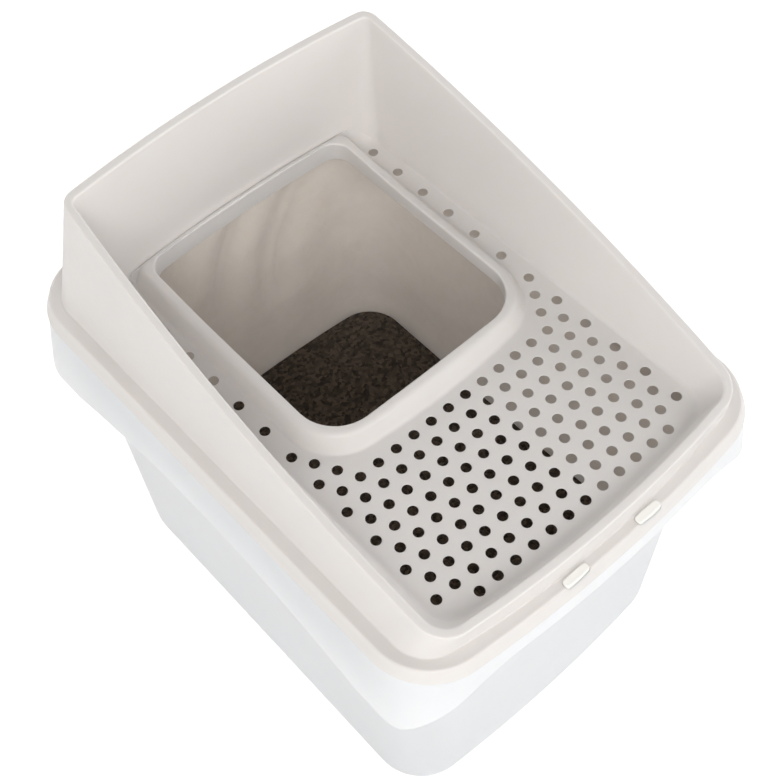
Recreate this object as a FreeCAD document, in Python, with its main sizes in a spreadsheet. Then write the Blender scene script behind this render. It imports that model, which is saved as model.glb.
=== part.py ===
import FreeCAD, Part
import math
import os
import Sketcher

doc = FreeCAD.newDocument("litter_box")

# Driving dimensions in millimetres and degrees
SIZES = {
    "deck_height": 350,
    "ledge_drop": 7,
    "lip_width": 380,
    "lip_length": 523.5,
    "lip_corner": 57,
    "lip_end_radius": 1240,
    "lip_height": 12.4,
    "lip_lean": 5,
    "lid_wall": 2.5,
    "ledge_side": 17,
    "ledge_front": 14.35,
    "ledge_back": 16.95,
    "screen_corner": 32,
    "screen_end_front": 850,
    "screen_end_back": 1000,
    "rim_setback_side": 23.2,
    "rim_setback_front": 13.08,
    "rim_setback_back": 64.67,
    "rim_corner_front": 28,
    "rim_corner_back": 14,
    "rim_end_front": 1100,
    "rim_end_back": 1430,
    "rim_side_radius": 2720,
    "rim_belly": 52.7,
    "rim_tilt": 14.54,
    "rim_rise": 82.1,
    "bead_width": 7,
    "bead_depth": 10,
    "deck_setback_side": 49,
    "deck_setback_front": 28.75,
    "deck_setback_back": 82.75,
    "deck_corner_front": 25,
    "deck_corner_back": 18,
    "deck_end_front": 1000,
    "deck_end_back": 1200,
    "hole_diameter": 8.7,
    "hole_margin_side": 11.99,
    "hole_margin_front": 16.12,
    "hole_margin_back": 20.75,
    "hole_gap": 11.4,
    "coaming_front": 75,
    "coaming_strip": 21.4,
    "coaming_root": 9,
    "coaming_corner": 42,
    "coaming_end_radius": 680,
    "coaming_height": 16.6,
    "coaming_land": 8,
    "coaming_run_side": 15.8,
    "coaming_run_front": 18,
    "coaming_run_back": 4,
    "entry_corner_front": 37,
    "entry_corner_back": 17,
    "entry_end_radius": 4000,
    "bin_wall": 2.8,
    "bin_floor": 3,
    "draft_side": 15.5,
    "draft_end": 15,
    "base_corner": 48,
    "base_end_radius": 1510,
    "base_round_inset": 10,
    "base_round_height": 12,
    "flange_side": 9.5,
    "flange_end": 26.75,
    "mouth_corner": 67,
    "mouth_end_radius": 1360,
    "mouth_stand": 7.7,
    "seat_gap": 0.3,
    "skirt_setback": 1,
    "skirt_drop": 73,
    "hem_flare_side": 6,
    "hem_flare_end": 6,
    "hem_corner": 48,
    "arch_margin": 100,
    "arch_rise": 53,
    "arch_radius": 126,
    "arch_depth": 56,
    "side_arch_margin": 77,
    "side_arch_rise": 22,
    "tab_spacing": 77.5,
    "tab_width": 24.5,
    "tab_depth": 7.4,
    "tab_setback": 4.55,
    "tab_proud": 2,
    "tab_play": 0.8,
    "hook_play": 0.4,
    "leg_width": 14,
    "leg_depth": 3.4,
    "leg_play": 0.3,
    "barb_depth": 1.4,
    "barb_height": 2,
    "film_gap": 0.5,
    "film_thickness": 1,
    "film_fold": 7,
    "litter_height": 75,
    "litter_gap": 0.5,
    "overrun": 2,
}
sheet = doc.addObject("Spreadsheet::Sheet", "Sizes")
for row, (alias, value) in enumerate(SIZES.items(), start=1):
    sheet.set("A%d" % row, alias)
    sheet.set("B%d" % row, str(value))
    sheet.setAlias("B%d" % row, alias)
doc.recompute()


def words(text):
    """Point every size word in an expression at the sheet."""
    out = []
    for word in text.split():
        out.append("Sizes." + word if word in SIZES else word)
    return " ".join(out)


def number(text):
    """Present value of an expression, for the first drawing of a sketch."""
    return float(sheet.evalExpression(words(text)))


# Heights that several pieces share
LEDGE = "( deck_height - ledge_drop )"
LIP_FOOT = "( deck_height - ledge_drop - lip_height )"
FLANGE = "( deck_height - ledge_drop - lip_height - seat_gap )"
FLANGE_FOOT = "( deck_height - ledge_drop - lip_height - seat_gap - bin_wall )"
MOUTH = "( deck_height - ledge_drop - lip_height - seat_gap + mouth_stand )"
HEM = "( deck_height - ledge_drop - lip_height - seat_gap - skirt_drop )"
ENTRY_TOP = "( deck_height + coaming_height )"
RIM = "( deck_height + rim_rise )"

# Places measured in from the lip, which leads the whole plan
SIDE = "lip_width / 2"
END = "lip_length / 2"
TAB_EDGE = "( lip_length / 2 - tab_setback )"
DECK_SIDE = "( lip_width / 2 - deck_setback_side )"
DECK_FRONT = "( lip_length / 2 - deck_setback_front )"
DECK_BACK = "( lip_length / 2 - deck_setback_back )"
ENTRY_SIDE = "( lip_width / 2 - deck_setback_side - coaming_strip - coaming_run_side )"
ENTRY_BACK = "( lip_length / 2 - deck_setback_back - coaming_run_back )"
MOUTH_SIDE = "lip_width / 2 - flange_side"
MOUTH_END = "lip_length / 2 - flange_end"
HEM_END = "( lip_length / 2 + hem_flare_end )"

# Outline families: half width, front, back, two corner radii, two end radii
LIP = [SIDE, END, END, "lip_corner", "lip_corner", "lip_end_radius", "lip_end_radius"]
SCREEN = [SIDE + " - ledge_side", END + " - ledge_front", END + " - ledge_back"]
SCREEN += ["screen_corner", "screen_corner", "screen_end_front", "screen_end_back"]
EDGE = [SIDE + " - rim_setback_side", "( lip_length / 2 - rim_setback_front ) / cos( rim_tilt )"]
EDGE += ["( lip_length / 2 - rim_setback_back ) / cos( rim_tilt )"]
EDGE += ["rim_corner_front", "rim_corner_back", "rim_end_front", "rim_end_back"]
DECK = [DECK_SIDE, DECK_FRONT, DECK_BACK, "deck_corner_front", "deck_corner_back"]
DECK += ["deck_end_front", "deck_end_back"]
COAMING = [DECK_SIDE + " - coaming_strip", "coaming_front", DECK_BACK + " + coaming_root"]
COAMING += ["coaming_corner", "entry_corner_back", "coaming_end_radius", "entry_end_radius"]
ENTRY = [ENTRY_SIDE, "coaming_front - coaming_run_front", ENTRY_BACK]
ENTRY += ["entry_corner_front", "entry_corner_back", "entry_end_radius", "entry_end_radius"]
BASE = [MOUTH_SIDE + " - draft_side", MOUTH_END + " - draft_end", MOUTH_END + " - draft_end"]
BASE += ["base_corner", "base_corner", "base_end_radius", "base_end_radius"]
TOP = [MOUTH_SIDE, MOUTH_END, MOUTH_END, "mouth_corner", "mouth_corner"]
TOP += ["mouth_end_radius", "mouth_end_radius"]
SKIRT = [SIDE + " - skirt_setback", END + " - skirt_setback", END + " - skirt_setback"]
SKIRT += ["lip_corner - skirt_setback", "lip_corner - skirt_setback"]
SKIRT += ["lip_end_radius", "lip_end_radius"]
HEM_LINE = [SIDE + " + hem_flare_side", HEM_END, HEM_END, "hem_corner", "hem_corner"]
HEM_LINE += ["lip_end_radius", "lip_end_radius"]


def meet(first, second, sign_x, sign_y):
    """Crossing of two circles (x, y, radius) on the asked side."""
    step_x = second[0] - first[0]
    step_y = second[1] - first[1]
    span = math.hypot(step_x, step_y)
    along = (first[2] ** 2 - second[2] ** 2 + span ** 2) / (span + span)
    across = math.sqrt(first[2] ** 2 - along ** 2)
    points = []
    for turn in (-1, 1):
        x = first[0] + (along * step_x - turn * across * step_y) / span
        y = first[1] + (along * step_y + turn * across * step_x) / span
        points.append((sign_x * x + sign_y * y, x, y))
    return max(points)[1:]


def outline(name, family, inset, height, tilted=False):
    """Closed eight-edge outline, inset from a family, bound to the sheet."""
    texts = ["( %s - ( %s ) )" % (text, inset) for text in family]
    half, front, back, corner_f, corner_b, end_f, end_b = texts
    sketch = doc.addObject("Sketcher::SketchObject", name)
    up = FreeCAD.Vector(0, 0, 1)
    ends = {-1: (number(end_f) - number(front), number(end_f), number(corner_f))}
    ends[1] = (number(back) - number(end_b), number(end_b), number(corner_b))
    bulge = "( rim_side_radius - ( %s ) )" % inset
    side_r = number(bulge) if tilted else 0
    corners = {}
    for sx in (1, -1):
        for sy in (1, -1):
            centre_y, radius, corner = ends[sy]
            reach = number(half) - corner
            if tilted:
                side = (sx * (number(half) - side_r), -number("rim_belly"), side_r - corner)
                corners[sx, sy] = meet(side, (0, centre_y, radius - corner), sx, sy)
            else:
                rise = math.sqrt((radius - corner) ** 2 - reach ** 2)
                corners[sx, sy] = (sx * reach, centre_y + sy * rise)

    def angle(centre, point):
        return math.atan2(point[1] - centre[1], point[0] - centre[0])

    def arc(x, y, radius, start, stop):
        circle = Part.Circle(FreeCAD.Vector(x, y, 0), up, radius)
        if stop < start:
            stop += math.tau
        return Part.ArcOfCircle(circle, start, stop)

    def side(sx):
        order = (-1, 1) if sx > 0 else (1, -1)
        if not tilted:
            points = []
            for sy in order:
                points.append(FreeCAD.Vector(sx * number(half), corners[sx, sy][1], 0))
            return Part.LineSegment(*points)
        centre = (sx * (number(half) - side_r), -number("rim_belly"))
        turns = [angle(centre, corners[sx, sy]) for sy in order]
        return arc(centre[0], centre[1], side_r, *turns)

    def corner(sx, sy):
        at = corners[sx, sy]
        end = angle((0, ends[sy][0]), at)
        flank = 0 if sx > 0 else math.pi
        if tilted:
            flank = angle((sx * (number(half) - side_r), -number("rim_belly")), at)
        turns = (flank, end) if sx * sy > 0 else (end, flank)
        return arc(at[0], at[1], ends[sy][2], *turns)

    def end(sy):
        order = (1, -1) if sy > 0 else (-1, 1)
        turns = [angle((0, ends[sy][0]), corners[sx, sy]) for sx in order]
        return arc(0, ends[sy][0], ends[sy][1], *turns)

    edges = [side(1), corner(1, 1), end(1), corner(-1, 1)]
    edges += [side(-1), corner(-1, -1), end(-1), corner(1, -1)]
    for edge in edges:
        sketch.addGeometry(edge, False)
    for index in range(len(edges)):
        after = (index + 1) % len(edges)
        sketch.addConstraint(Sketcher.Constraint("Tangent", index, 2, after, 1))

    def bind(text, *parts):
        index = sketch.addConstraint(Sketcher.Constraint(*parts, number(text)))
        sketch.setExpression("Constraints[%d]" % index, words(text))

    for index, text in ((1, corner_b), (3, corner_b), (5, corner_f), (7, corner_f)):
        bind(text, "Radius", index)
    for index, text in ((2, end_b), (6, end_f)):
        bind(text, "Radius", index)
        sketch.addConstraint(Sketcher.Constraint("PointOnObject", index, 3, -2))
    bind("%s - %s" % (end_b, back), "DistanceY", 2, 3, -1, 1)
    bind("%s - %s" % (end_f, front), "DistanceY", -1, 1, 6, 3)
    if tilted:
        for index in (0, 4):
            bind(bulge, "Radius", index)
            bind("rim_belly", "DistanceY", index, 3, -1, 1)
        bind("%s - %s" % (bulge, half), "DistanceX", 0, 3, -1, 1)
        bind("%s - %s" % (bulge, half), "DistanceX", -1, 1, 4, 3)
        turn = FreeCAD.Rotation(FreeCAD.Vector(1, 0, 0), number("rim_tilt"))
        sketch.Placement = FreeCAD.Placement(FreeCAD.Vector(), turn)
        sketch.setExpression("Placement.Rotation.Angle", words("rim_tilt"))
    else:
        for index in (0, 4):
            sketch.addConstraint(Sketcher.Constraint("Vertical", index))
        bind(half, "DistanceX", -1, 1, 0, 1)
        bind(half, "DistanceX", 4, 1, -1, 1)
    sketch.setExpression("Placement.Base.z", words(height))
    return sketch


def loft(name, *sections):
    """Ruled solid through outlines, each given as family, inset, height."""
    made = doc.addObject("Part::Loft", name)
    rings = []
    for index, section in enumerate(sections):
        rings.append(outline("%s_ring_%d" % (name, index), *section))
    made.Sections = rings
    made.Solid = True
    made.Ruled = True
    return made


def box(name, x, y, z, width, depth, height):
    """Box centred on x, with its low y and low z given as expressions."""
    made = doc.addObject("Part::Box", name)
    made.setExpression("Length", words(width))
    made.setExpression("Width", words(depth))
    made.setExpression("Height", words(height))
    made.setExpression("Placement.Base.x", words("%s - ( %s ) / 2" % (x, width)))
    made.setExpression("Placement.Base.y", words(y))
    made.setExpression("Placement.Base.z", words(z))
    return made


def drum(name, x, y, z, radius, height, axis):
    """Round bar from a start point along an axis."""
    made = doc.addObject("Part::Cylinder", name)
    turn = FreeCAD.Rotation(FreeCAD.Vector(0, 0, 1), axis)
    made.Placement = FreeCAD.Placement(FreeCAD.Vector(), turn)
    made.setExpression("Radius", words(radius))
    made.setExpression("Height", words(height))
    made.setExpression("Placement.Base.x", words(x))
    made.setExpression("Placement.Base.y", words(y))
    made.setExpression("Placement.Base.z", words(z))
    return made


def fuse(name, *pieces):
    made = doc.addObject("Part::MultiFuse", name)
    made.Shapes = list(pieces)
    return made


def cut(name, base, tool):
    made = doc.addObject("Part::Cut", name)
    made.Base = base
    made.Tool = tool
    return made


def common(name, *pieces):
    made = doc.addObject("Part::MultiCommon", name)
    made.Shapes = list(pieces)
    return made


def group(name, pieces):
    made = doc.addObject("Part::Compound", name)
    made.Links = list(pieces)
    return made


ALONG_X = FreeCAD.Vector(1, 0, 0)
ALONG_Y = FreeCAD.Vector(0, 1, 0)
ALONG_Z = FreeCAD.Vector(0, 0, 1)

# Lid: lip, ledge and hollow screen
lip_block = loft("lip_block", (LIP, "0", LIP_FOOT), (LIP, "lip_lean", LEDGE))
screen_block = loft(
    "screen_block",
    (SCREEN, "0", LEDGE + " - lid_wall"),
    (EDGE, "0", RIM, True),
)
pocket = loft(
    "pocket",
    (DECK, "0", "deck_height"),
    (EDGE, "bead_width", RIM + " + overrun", True),
)
tub = loft(
    "tub",
    (DECK, "0 - lid_wall", "deck_height - lid_wall"),
    (EDGE, "bead_width - lid_wall", RIM + " + overrun", True),
)
lip_void = loft(
    "lip_void",
    (LIP, "lid_wall", LIP_FOOT),
    (LIP, "lid_wall + lip_lean", LEDGE + " - lid_wall"),
)
screen_void = loft(
    "screen_void",
    (SCREEN, "lid_wall", LEDGE + " - lid_wall - overrun"),
    (EDGE, "lid_wall", RIM + " - bead_depth", True),
)
lid_hollow = cut("lid_hollow", fuse("lid_voids", lip_void, screen_void), tub)
lid_block = cut("lid_block", fuse("lid_mass", lip_block, screen_block), pocket)
lid_shell = cut("lid_shell", lid_block, lid_hollow)

# Lid: raised coaming round the entry, hollow from below
coaming_block = loft(
    "coaming_block",
    (COAMING, "0", "deck_height - lid_wall"),
    (ENTRY, "0 - coaming_land", ENTRY_TOP),
)
coaming = common("coaming", coaming_block, tub)
coaming_core = loft(
    "coaming_core",
    (COAMING, "lid_wall", "deck_height - lid_wall - overrun"),
    (ENTRY, "lid_wall - coaming_land", ENTRY_TOP + " - lid_wall"),
)
core_stop = box(
    "core_stop", "0", "0 - coaming_front", "deck_height - lid_wall - overrun",
    DECK_SIDE + " + " + DECK_SIDE, "coaming_front + %s - entry_corner_back" % ENTRY_BACK,
    "coaming_height + overrun",
)
entry_wall = loft(
    "entry_wall",
    (ENTRY, "0 - lid_wall", "deck_height - lid_wall - overrun - overrun"),
    (ENTRY, "0 - lid_wall", ENTRY_TOP),
)
coaming_void = cut("coaming_void", common("core_part", coaming_core, core_stop), entry_wall)
entry = loft(
    "entry",
    (ENTRY, "0", "deck_height - lid_wall - overrun"),
    (ENTRY, "0", ENTRY_TOP + " + overrun"),
)

# Lid: staggered litter holes, rows counted forward from the coaming and back beside it
FRONT_ROWS = 8
BACK_ROWS = 15
SIDE_COLUMNS = 7
FIRST_ROW = "( coaming_front + hole_gap )"
FRONT_PITCH = "( %s - hole_margin_front - %s ) / %d" % (DECK_FRONT, FIRST_ROW, FRONT_ROWS)
BACK_PITCH = "( %s - hole_margin_back + %s ) / %d" % (DECK_BACK, FIRST_ROW, BACK_ROWS)
COLUMN_PITCH = "( %s - hole_margin_side ) / %d" % (DECK_SIDE, SIDE_COLUMNS)
places = []
for row in range(FRONT_ROWS):
    count = 2 * SIDE_COLUMNS + row % 2
    for index in range(count):
        places.append((row, index - (count - 1) / 2))
for index in range(2 * SIDE_COLUMNS - 2):
    places.append((FRONT_ROWS, index - SIDE_COLUMNS + 1.5))
for side in (-1, 1):
    places.append((-1, side * (SIDE_COLUMNS - 1)))
    places.append((-2, side * (SIDE_COLUMNS - 0.5)))
    for row in range(-BACK_ROWS, 0, 2):
        places.append((row, side * SIDE_COLUMNS))
holes = []
for index, (row, column) in enumerate(places):
    pitch = FRONT_PITCH if row > 0 else BACK_PITCH
    holes.append(drum(
        "hole_%d" % index,
        "%s * %s" % (column, COLUMN_PITCH),
        "0 - %s - %d * %s" % (FIRST_ROW, row, pitch),
        "deck_height - lid_wall - overrun",
        "hole_diameter / 2",
        "lid_wall + overrun + overrun",
        ALONG_Z,
    ))

# Clip-in tongues: two latch tabs in front, two hinge hooks behind
HOOK_REACH = "sqrt( ( tab_setback + tab_depth ) ^ 2 + ( lip_height - lid_wall ) ^ 2 )"
TAB_HEIGHT = "lip_height + seat_gap + tab_proud"
FRONT_Y = "0 - " + TAB_EDGE
BACK_Y = TAB_EDGE + " - tab_depth"
slots = []
leg_holes = []
clips = []
for end_name, low_y in (("latch_tab", FRONT_Y), ("hinge_hook", BACK_Y)):
    for side_name, sign in (("left", "0 - "), ("right", "")):
        name = "%s_%s" % (end_name, side_name)
        middle = "%stab_spacing / 2" % sign
        leg_y = "%s + ( tab_depth - leg_depth ) / 2" % low_y
        head = box(name + "_head", middle, low_y, FLANGE, "tab_width", "tab_depth", TAB_HEIGHT)
        if end_name == "hinge_hook":
            swing = drum(
                name + "_swing", "%s - tab_width" % middle, END, LIP_FOOT,
                HOOK_REACH + " - hook_play", "tab_width + tab_width", ALONG_X,
            )
            head = common(name + "_round", head, swing)
        leg = box(
            name + "_leg", middle, leg_y, FLANGE_FOOT + " - leg_play - barb_height",
            "leg_width", "leg_depth", "bin_wall + leg_play + barb_height",
        )
        barb = box(
            name + "_barb", middle, "%s - barb_depth" % leg_y,
            FLANGE_FOOT + " - leg_play - barb_height",
            "leg_width", "leg_depth + barb_depth", "barb_height",
        )
        clip = fuse(name, head, leg, barb)
        clip.Label = name
        clips.append(clip)
        slots.append(box(
            name + "_slot", middle, "%s - tab_play" % low_y, LIP_FOOT,
            "tab_width + 2 * tab_play", "tab_depth + tab_play + hook_play",
            "lip_height + overrun",
        ))
        leg_holes.append(box(
            name + "_hole", middle, "%s - leg_play" % leg_y, FLANGE_FOOT + " - overrun",
            "leg_width + 2 * leg_play", "leg_depth + 2 * leg_play",
            "bin_wall + 2 * overrun",
        ))

lid_raised = cut("lid_raised", fuse("lid_body", lid_shell, coaming), coaming_void)
lid = cut("lid_finished", lid_raised, group("lid_cutters", [entry] + holes + slots))
lid.Label = "lid"

# Bin: drafted tub, flange and hanging skirt, arched on all four sides
bin_block = loft(
    "bin_block",
    (BASE, "base_round_inset", "0"),
    (BASE, "0", "base_round_height"),
    (TOP, "0", MOUTH),
)
bin_void = loft(
    "bin_void",
    (BASE, "base_round_inset + bin_wall", "bin_floor"),
    (BASE, "bin_wall", "base_round_height + bin_floor"),
    (TOP, "bin_wall", MOUTH + " + overrun"),
)
skirt_block = loft("skirt_block", (HEM_LINE, "0", HEM), (SKIRT, "0", FLANGE))
skirt_void = loft(
    "skirt_void",
    (HEM_LINE, "bin_wall", HEM + " - overrun"),
    (SKIRT, "bin_wall", FLANGE_FOOT),
)
ARCH_FLAT = "( lip_width / 2 - arch_margin )"
ARCH_FRONT = "0 - %s - overrun" % HEM_END
ARCH_BACK = HEM_END + " - arch_depth"
SIDE_RUN = "( lip_length / 2 - side_arch_margin )"
SIDE_RADIUS = "( ( %s ^ 2 + side_arch_rise ^ 2 ) / ( 2 * side_arch_rise ) )" % SIDE_RUN
arches = [drum(
    "arch_sides", "0 - lip_width", "0", HEM + " + side_arch_rise - " + SIDE_RADIUS,
    SIDE_RADIUS, "lip_width + lip_width", ALONG_X,
)]
for end_name, low_y in (("front", ARCH_FRONT), ("back", ARCH_BACK)):
    arches.append(box(
        "arch_%s" % end_name, "0", low_y, HEM + " - overrun",
        "2 * " + ARCH_FLAT, "arch_depth + overrun", "arch_rise + overrun",
    ))
    for sign in ("0 - ", ""):
        arches.append(drum(
            "arch_%s_%d" % (end_name, len(arches)),
            sign + ARCH_FLAT, low_y,
            HEM + " + arch_rise - arch_radius",
            "arch_radius", "arch_depth + overrun", ALONG_Y,
        ))
skirt_hollow = fuse("skirt_hollow", skirt_void, *arches)
skirt = cut("skirt", skirt_block, skirt_hollow)
bin_mass = fuse("bin_mass", bin_block, skirt)
bin_tub = cut("bin_tub", bin_mass, group("bin_cutters", [bin_void] + leg_holes))
bin_tub.Label = "bin"

# Liner bag: plain film solid inside the tub, folded over the mouth
film_block = loft(
    "film_block",
    (BASE, "base_round_inset + bin_wall + film_gap", "bin_floor"),
    (BASE, "bin_wall + film_gap", "base_round_height + bin_floor"),
    (TOP, "bin_wall + film_gap", MOUTH + " + film_gap + film_thickness"),
)
film_void = loft(
    "film_void",
    (BASE, "base_round_inset + bin_wall + film_gap + film_thickness", "bin_floor + film_thickness"),
    (BASE, "bin_wall + film_gap + film_thickness", "base_round_height + bin_floor + film_thickness"),
    (TOP, "bin_wall + film_gap + film_thickness", MOUTH + " + film_gap + film_thickness + overrun"),
)
fold_block = loft(
    "fold_block",
    (TOP, "0 - film_gap - film_thickness", MOUTH + " + film_gap - film_fold"),
    (TOP, "0 - film_gap - film_thickness", MOUTH + " + film_gap + film_thickness"),
)
fold_void = loft(
    "fold_void",
    (TOP, "0 - film_gap", MOUTH + " + film_gap - film_fold - overrun"),
    (TOP, "0 - film_gap", MOUTH + " + film_gap"),
)
fold = cut("fold", fold_block, fold_void)
liner = cut("liner", fuse("film_mass", film_block, fold), film_void)
liner.Label = "liner_bag"

# Litter bed: a block that fills the lined tub to the litter height
FILM_FACE = "bin_wall + film_gap + film_thickness + litter_gap"
litter_block = loft(
    "litter_block",
    (BASE, "base_round_inset + " + FILM_FACE, "bin_floor + film_thickness"),
    (BASE, FILM_FACE, "base_round_height + bin_floor + film_thickness"),
    (TOP, FILM_FACE, MOUTH),
)
litter_trim = box(
    "litter_trim", "0", "0 - lip_length / 2", "bin_floor",
    "lip_width", "lip_length", "litter_height - bin_floor",
)
litter = common("litter", litter_block, litter_trim)
litter.Label = "litter_bed"

# Check every object, then write each sub-part
doc.recompute()
SUB_PARTS = [bin_tub, lid] + clips + [liner, litter]
for item in doc.Objects:
    if "Invalid" in item.State or "Error" in item.State:
        raise RuntimeError("object does not compute: " + item.Name)
os.makedirs("parts", exist_ok=True)
for item in SUB_PARTS:
    if item.Shape.isNull() or not item.Shape.isValid():
        raise RuntimeError("shape is not valid: " + item.Label)
    extent = item.Shape.optimalBoundingBox(False)
    print(item.Label, len(item.Shape.Solids), "solids", extent)
for item in SUB_PARTS:
    item.Shape.exportStep("parts/%s.step" % item.Label)
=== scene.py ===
# %% [markdown]
# # A top-entry litter box
# The real object is a tall white tub with a pale grey lid. The lid carries a
# perforated deck, a raised rim round the entry and a screen that slopes up to
# the back. Sizes and places follow the CAD model; here each moulded shell is drawn
# again as a smooth surface, because moulded plastic shows its soft edges more than
# anything else. One place differs: the entry's back edge and the foot of the wall
# behind it lie a few millimetres further back than in the CAD model, where the
# photo shows them.

import math

import bmesh
import bpy
import numpy as np
from mathutils import Matrix, Vector
from mathutils.geometry import delaunay_2d_cdt


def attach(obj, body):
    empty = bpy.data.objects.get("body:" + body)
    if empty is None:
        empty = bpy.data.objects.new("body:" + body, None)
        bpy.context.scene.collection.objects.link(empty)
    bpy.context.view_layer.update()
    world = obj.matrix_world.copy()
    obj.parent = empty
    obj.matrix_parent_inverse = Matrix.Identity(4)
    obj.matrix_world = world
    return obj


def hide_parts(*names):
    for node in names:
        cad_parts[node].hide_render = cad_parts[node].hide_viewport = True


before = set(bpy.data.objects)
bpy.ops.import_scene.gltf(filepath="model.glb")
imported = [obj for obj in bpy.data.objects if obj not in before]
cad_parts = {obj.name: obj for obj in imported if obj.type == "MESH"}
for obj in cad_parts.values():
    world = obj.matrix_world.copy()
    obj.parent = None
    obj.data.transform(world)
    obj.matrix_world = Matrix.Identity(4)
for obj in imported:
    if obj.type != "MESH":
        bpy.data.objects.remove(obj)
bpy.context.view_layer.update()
MM = 0.001

# %% [markdown]
# ## Outlines
# Seen from above, every wall of this box is the same kind of figure: a rounded
# rectangle whose short ends bow outwards a little. One function draws it, and
# all outlines of one shell have the same number of points, so that any two of
# them can be joined point by point into a wall.

# %% The bowed rounded rectangle
SIDE_POINTS, CORNER_POINTS, END_POINTS = 44, 14, 76


def crossing(centre_a, radius_a, centre_b, radius_b, towards):
    """Point where two circles cross, on the side that lies furthest along towards.
    Half the chord follows from Pythagoras on the line between the centres."""
    step = centre_b - centre_a
    span = np.hypot(*step)
    along = (radius_a**2 - radius_b**2 + span**2) / (2 * span)
    across = math.sqrt(radius_a**2 - along**2)
    normal = np.array([-step[1], step[0]]) / span
    foot = centre_a + step / span * along
    return max((foot + s * across * normal for s in (-1, 1)), key=lambda p: p @ towards)


def outline(shape, inset=0.0, bulge=None, belly=0.0, points=None):
    """Closed outline, counter-clockwise from the front of the right side.
    shape is half width, front, back, front and back corner radius, front and back
    end radius. Ends are arcs about points on the middle line, sides are straight
    or arcs of radius bulge, and a corner arc touches both: its centre lies one
    corner radius inside each of them. inset moves the whole figure inwards."""
    half, front, back, corner_f, corner_b, end_f, end_b = np.asarray(shape, float) - inset
    n_side, n_corner, n_end = points or (SIDE_POINTS, CORNER_POINTS, END_POINTS)
    flank = None if bulge is None else bulge - inset
    hub = None if bulge is None else np.array([half - flank, -belly])
    corner, flank_turn, end_turn, end_centre = {}, {}, {}, {}
    for s, reach, r, big in ((-1, front, corner_f, end_f), (1, back, corner_b, end_b)):
        end_centre[s] = np.array([0.0, s * (reach - big)])
        if flank is None:
            x = half - r
            corner[s] = end_centre[s] + np.array([x, s * math.sqrt((big - r) ** 2 - x**2)])
            flank_turn[s] = 0.0
        else:
            corner[s] = crossing(hub, flank - r, end_centre[s], big - r, np.array([1.0, s]))
            flank_turn[s] = math.atan2(*(corner[s] - hub)[::-1])
        end_turn[s] = math.atan2(*(corner[s] - end_centre[s])[::-1])

    def arc(centre, radius, start, stop, count):
        turn = np.linspace(start, stop, count, endpoint=False)
        return centre + radius * np.c_[np.cos(turn), np.sin(turn)]

    if flank is None:
        ys = np.linspace(corner[-1][1], corner[1][1], n_side, endpoint=False)
        right = np.c_[np.full(n_side, half), ys]
        left = np.c_[np.full(n_side, -half), ys[::-1] + corner[1][1] - ys[-1]]
    else:
        right = arc(hub, flank, flank_turn[-1], flank_turn[1], n_side)
        turns = math.pi - flank_turn[1], math.pi - flank_turn[-1]
        left = arc(hub * (-1, 1), flank, *turns, n_side)
    mirror = np.array([-1.0, 1.0])
    whole = [
        right,
        arc(corner[1], corner_b, flank_turn[1], end_turn[1], n_corner),
        arc(end_centre[1], end_b, end_turn[1], math.pi - end_turn[1], n_end),
        arc(corner[1] * mirror, corner_b, math.pi - end_turn[1], math.pi - flank_turn[1], n_corner),
        left,
        arc(corner[-1] * mirror, corner_f, math.pi - flank_turn[-1], math.pi - end_turn[-1], n_corner),
        arc(end_centre[-1], end_f, math.pi - end_turn[-1], math.tau + end_turn[-1], n_end),
        arc(corner[-1], corner_f, end_turn[-1], flank_turn[-1], n_corner),
    ]
    return np.concatenate(whole)


def level(flat, height):
    """Outline lifted to a height, which may differ from point to point."""
    return np.c_[flat, np.broadcast_to(height, len(flat))]


LIP = (190, 261.75, 261.75, 57, 57, 1240, 1240)
print("points on an outline", len(outline(LIP)))

# %% [markdown]
# ## Sections with soft corners
# A moulded wall has no knife edges: every corner of its section is rounded. So
# a wall is given by a few guide outlines, one at each corner of the section,
# and a second function rounds the section at each of them, all the way round
# the box at once.

# %% Round a section through guide outlines
ARC_STEPS, LEAD_MM, LEAD_SHARE = 7, 1.0, 0.06
RUN_SHARED, RUN_ALONE = 0.46, 0.9


def soft_section(guides, soft):
    """Rows of points through guide outlines with rounded corners.
    At a guide the section leaves its straight run a length soft before the
    corner, follows the parabola that touches both runs, and joins the next run
    the same length after it. One more row on each side keeps the runs flat. The
    first and last guide have no corner, so their soft is nought."""
    guides = [np.asarray(g, float) for g in guides]
    rows = []
    for i, (corner, reach) in enumerate(zip(guides, soft)):
        if np.max(reach) == 0:
            rows.append(corner)
            continue
        before, after = guides[i - 1] - corner, guides[i + 1] - corner
        len_b = np.linalg.norm(before, axis=1, keepdims=True)
        len_a = np.linalg.norm(after, axis=1, keepdims=True)
        share_b = RUN_SHARED if np.max(soft[i - 1]) > 0 else RUN_ALONE
        share_a = RUN_SHARED if np.max(soft[i + 1]) > 0 else RUN_ALONE
        want = np.asarray(reach, float).reshape(-1, 1)
        t = np.minimum(want, np.minimum(share_b * len_b, share_a * len_a))
        start, stop = corner + before / len_b * t, corner + after / len_a * t
        rows.append(start + before / len_b * np.minimum(LEAD_MM, LEAD_SHARE * len_b))
        for s in np.linspace(0, 1, ARC_STEPS):
            rows.append((1 - s) ** 2 * start + 2 * s * (1 - s) * corner + s**2 * stop)
        rows.append(stop + after / len_a * np.minimum(LEAD_MM, LEAD_SHARE * len_a))
    return np.array(rows)


def wall_faces(count_rows, count_ring, first=0):
    """Quads between neighbouring rows of a grid that closes on itself sideways."""
    i = np.arange(count_rows - 1)[:, None]
    j = np.arange(count_ring)[None, :]
    on = (j + 1) % count_ring
    here, above = first + i * count_ring, first + (i + 1) * count_ring
    return np.stack([here + j, here + on, above + on, above + j], -1).reshape(-1, 4)


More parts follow.
